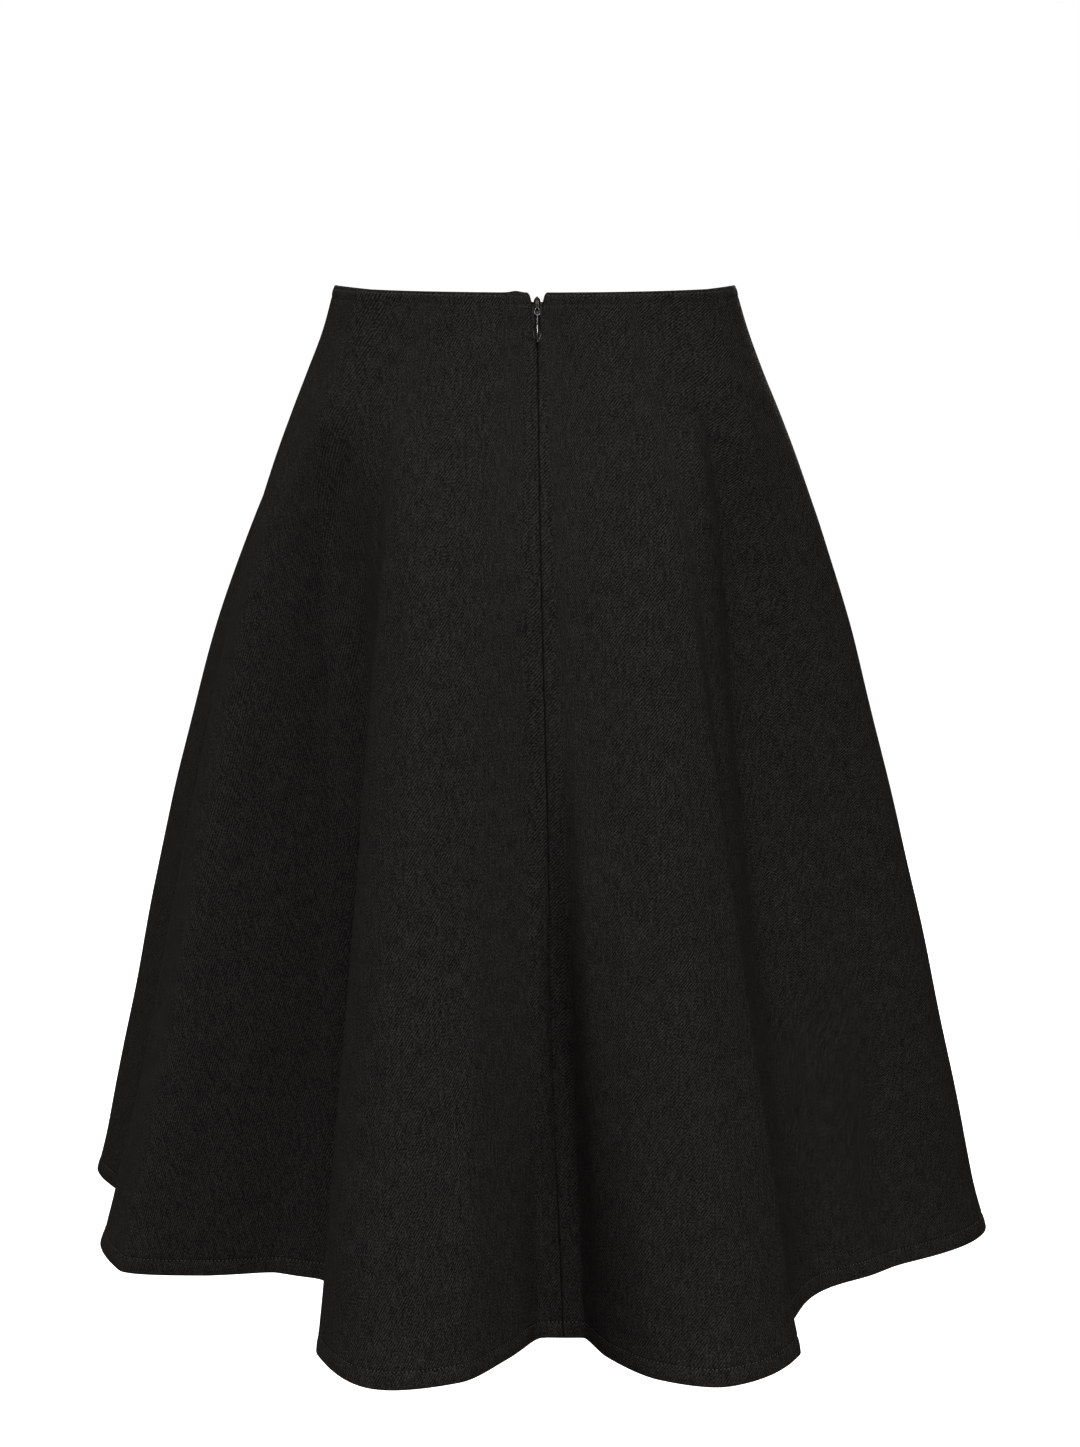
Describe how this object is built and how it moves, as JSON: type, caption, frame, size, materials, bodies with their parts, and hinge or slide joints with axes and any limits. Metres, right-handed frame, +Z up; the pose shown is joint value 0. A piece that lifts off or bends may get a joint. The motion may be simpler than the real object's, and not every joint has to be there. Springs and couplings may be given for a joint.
{
  "type": "flared godet skirt",
  "caption": "Knee-length flared skirt in its worn form, with deep flutes round the hem and a concealed centre back zip.",
  "frame": {"origin": "centre of the waist opening, level with the waist edge at the back", "axes": "+Z up out of the waist, -Y towards the back of the wearer where the zip is, +X towards the wearer's right"},
  "size_m": [0.605, 0.5539, 0.6199],
  "materials": {
    "twill": "matte",
    "tape": "matte",
    "zip_metal": "polished black nickel"
  },
  "bodies": {
    "skirt": {"panel_back_left": "twill", "panel_back_right": "twill", "panel_front": "twill", "zip_tape": "tape", "zip_slider": "zip_metal"},
    "pull": {"pull_tab": "zip_metal"}
  },
  "joints": [
    {"name": "pull_tab_swing", "type": "hinge", "parent": "skirt", "child": "pull", "pos_m": [-0.0017, -0.09222, -0.00926], "axis": [-0.9999, 0.006, -0.0093], "range_deg": [0, 150]}
  ]
}
